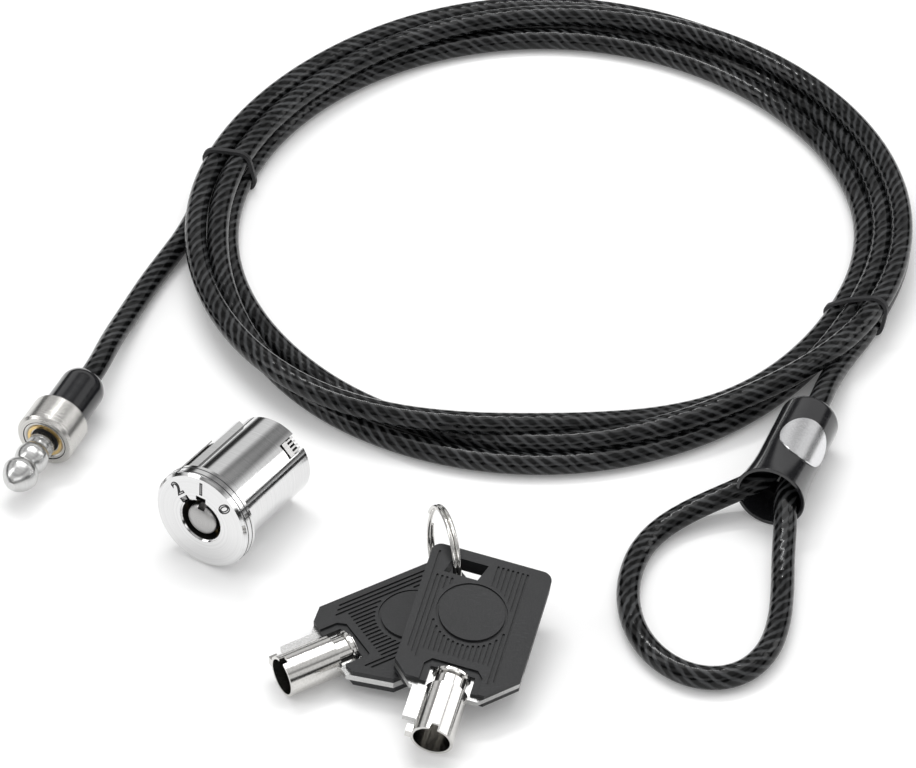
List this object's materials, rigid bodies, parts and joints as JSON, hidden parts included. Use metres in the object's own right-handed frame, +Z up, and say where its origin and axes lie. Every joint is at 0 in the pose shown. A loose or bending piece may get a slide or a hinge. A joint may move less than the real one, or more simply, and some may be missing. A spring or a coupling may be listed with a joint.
{
  "type": "laptop cable lock",
  "caption": "Laptop cable lock set: tied coil of jacketed steel cable with a swivelling double-ball pin and a fixed loop, a tubular-key lock cylinder, and two keys on a split ring.",
  "frame": {"origin": "Middle of the set's footprint on the surface it lies on, cable left out", "axes": "+Z up; +Y from the keys towards the coil; +X to the right of someone facing the keys"},
  "size_m": [0.1822, 0.2253, 0.0211],
  "materials": {
    "cable_jacket": "clear smoke-black vinyl over twisted steel rope",
    "band_rubber": "matte black rubber",
    "black_vinyl": "glossy black moulded vinyl",
    "turned_steel": "turned, fine rings round the axis",
    "polished_steel": "polished steel, soft shine",
    "lock_chrome": "bright chrome plate",
    "bare_steel": "machined",
    "pin_brass": "drawn brass",
    "badge_silver": "satin silver foil",
    "key_plastic": "dark grey moulded plastic, fine ribs",
    "key_steel": "stamped steel",
    "key_nickel": "bright nickel plate"
  },
  "bodies": {
    "cable": {"cable_coil": "cable_jacket", "cable_tail_plug": "cable_jacket", "cable_tail_loop": "cable_jacket", "cable_loop": "cable_jacket", "band_left": "band_rubber", "band_right": "band_rubber", "plug_boot": "black_vinyl", "plug_collar": "turned_steel", "plug_crimp": "bare_steel", "pin_retainer": "turned_steel", "ferrule_cover": "black_vinyl", "ferrule_badge": "badge_silver", "ferrule_crimp": "bare_steel"},
    "locking_pin": {"locking_pin": "polished_steel"},
    "lock": {"lock_housing": "lock_chrome", "pin_sleeve": "bare_steel", "driver_pins": "pin_brass", "pin_springs": "bare_steel", "sleeve_pin": "bare_steel", "rear_cap": "bare_steel", "side_blade": "bare_steel"},
    "spindle": {"lock_spindle": "bare_steel", "key_pins": "pin_brass", "cam_cup": "bare_steel", "cam_screw": "bare_steel"},
    "latch": {"latch_plate": "bare_steel"},
    "ring": {"split_ring": "key_nickel"},
    "key_1": {"key_1_head": "key_plastic", "key_1_blade": "key_steel", "key_1_barrel": "key_nickel"},
    "key_2": {"key_2_head": "key_plastic", "key_2_blade": "key_steel", "key_2_barrel": "key_nickel"}
  },
  "joints": [
    {"name": "pin_swivel", "type": "hinge", "parent": "cable", "child": "locking_pin", "pos_m": [-0.0842, -0.0142, 0.006], "axis": [0.3862, 0.9224, 0], "continuous": true},
    {"name": "lock_lift", "type": "slide", "parent": "cable", "child": "lock", "axis": [0, 0, 1], "range_m": [0, 0.06]},
    {"name": "spindle_turn", "type": "hinge", "parent": "lock", "child": "spindle", "pos_m": [-0.0484, -0.0322, 0.01072], "axis": [0.5368, 0.8394, -0.0854], "range_deg": [-45.5, 45.5]},
    {"name": "latch_slide", "type": "slide", "parent": "lock", "child": "latch", "axis": [0.5979, -0.307, 0.7404], "range_m": [-0.0005, 0.0005]},
    {"name": "ring_lift", "type": "slide", "parent": "cable", "child": "ring", "axis": [0, 0, 1], "range_m": [0, 0.06]},
    {"name": "key_1_swing", "type": "hinge", "parent": "ring", "child": "key_1", "pos_m": [-0.0006, -0.04571, 0.00435], "axis": [-0.0045, -0.0026, 1], "range_deg": [-30, 0]},
    {"name": "key_2_swing", "type": "hinge", "parent": "ring", "child": "key_2", "pos_m": [0.00036, -0.04703, 0.01134], "axis": [0.1012, -0.1858, 0.9774], "range_deg": [0, 30]}
  ],
  "couplings": [
    {"joint": "spindle_turn", "follows": "latch_slide", "rad_per_m": -1570.8}
  ]
}
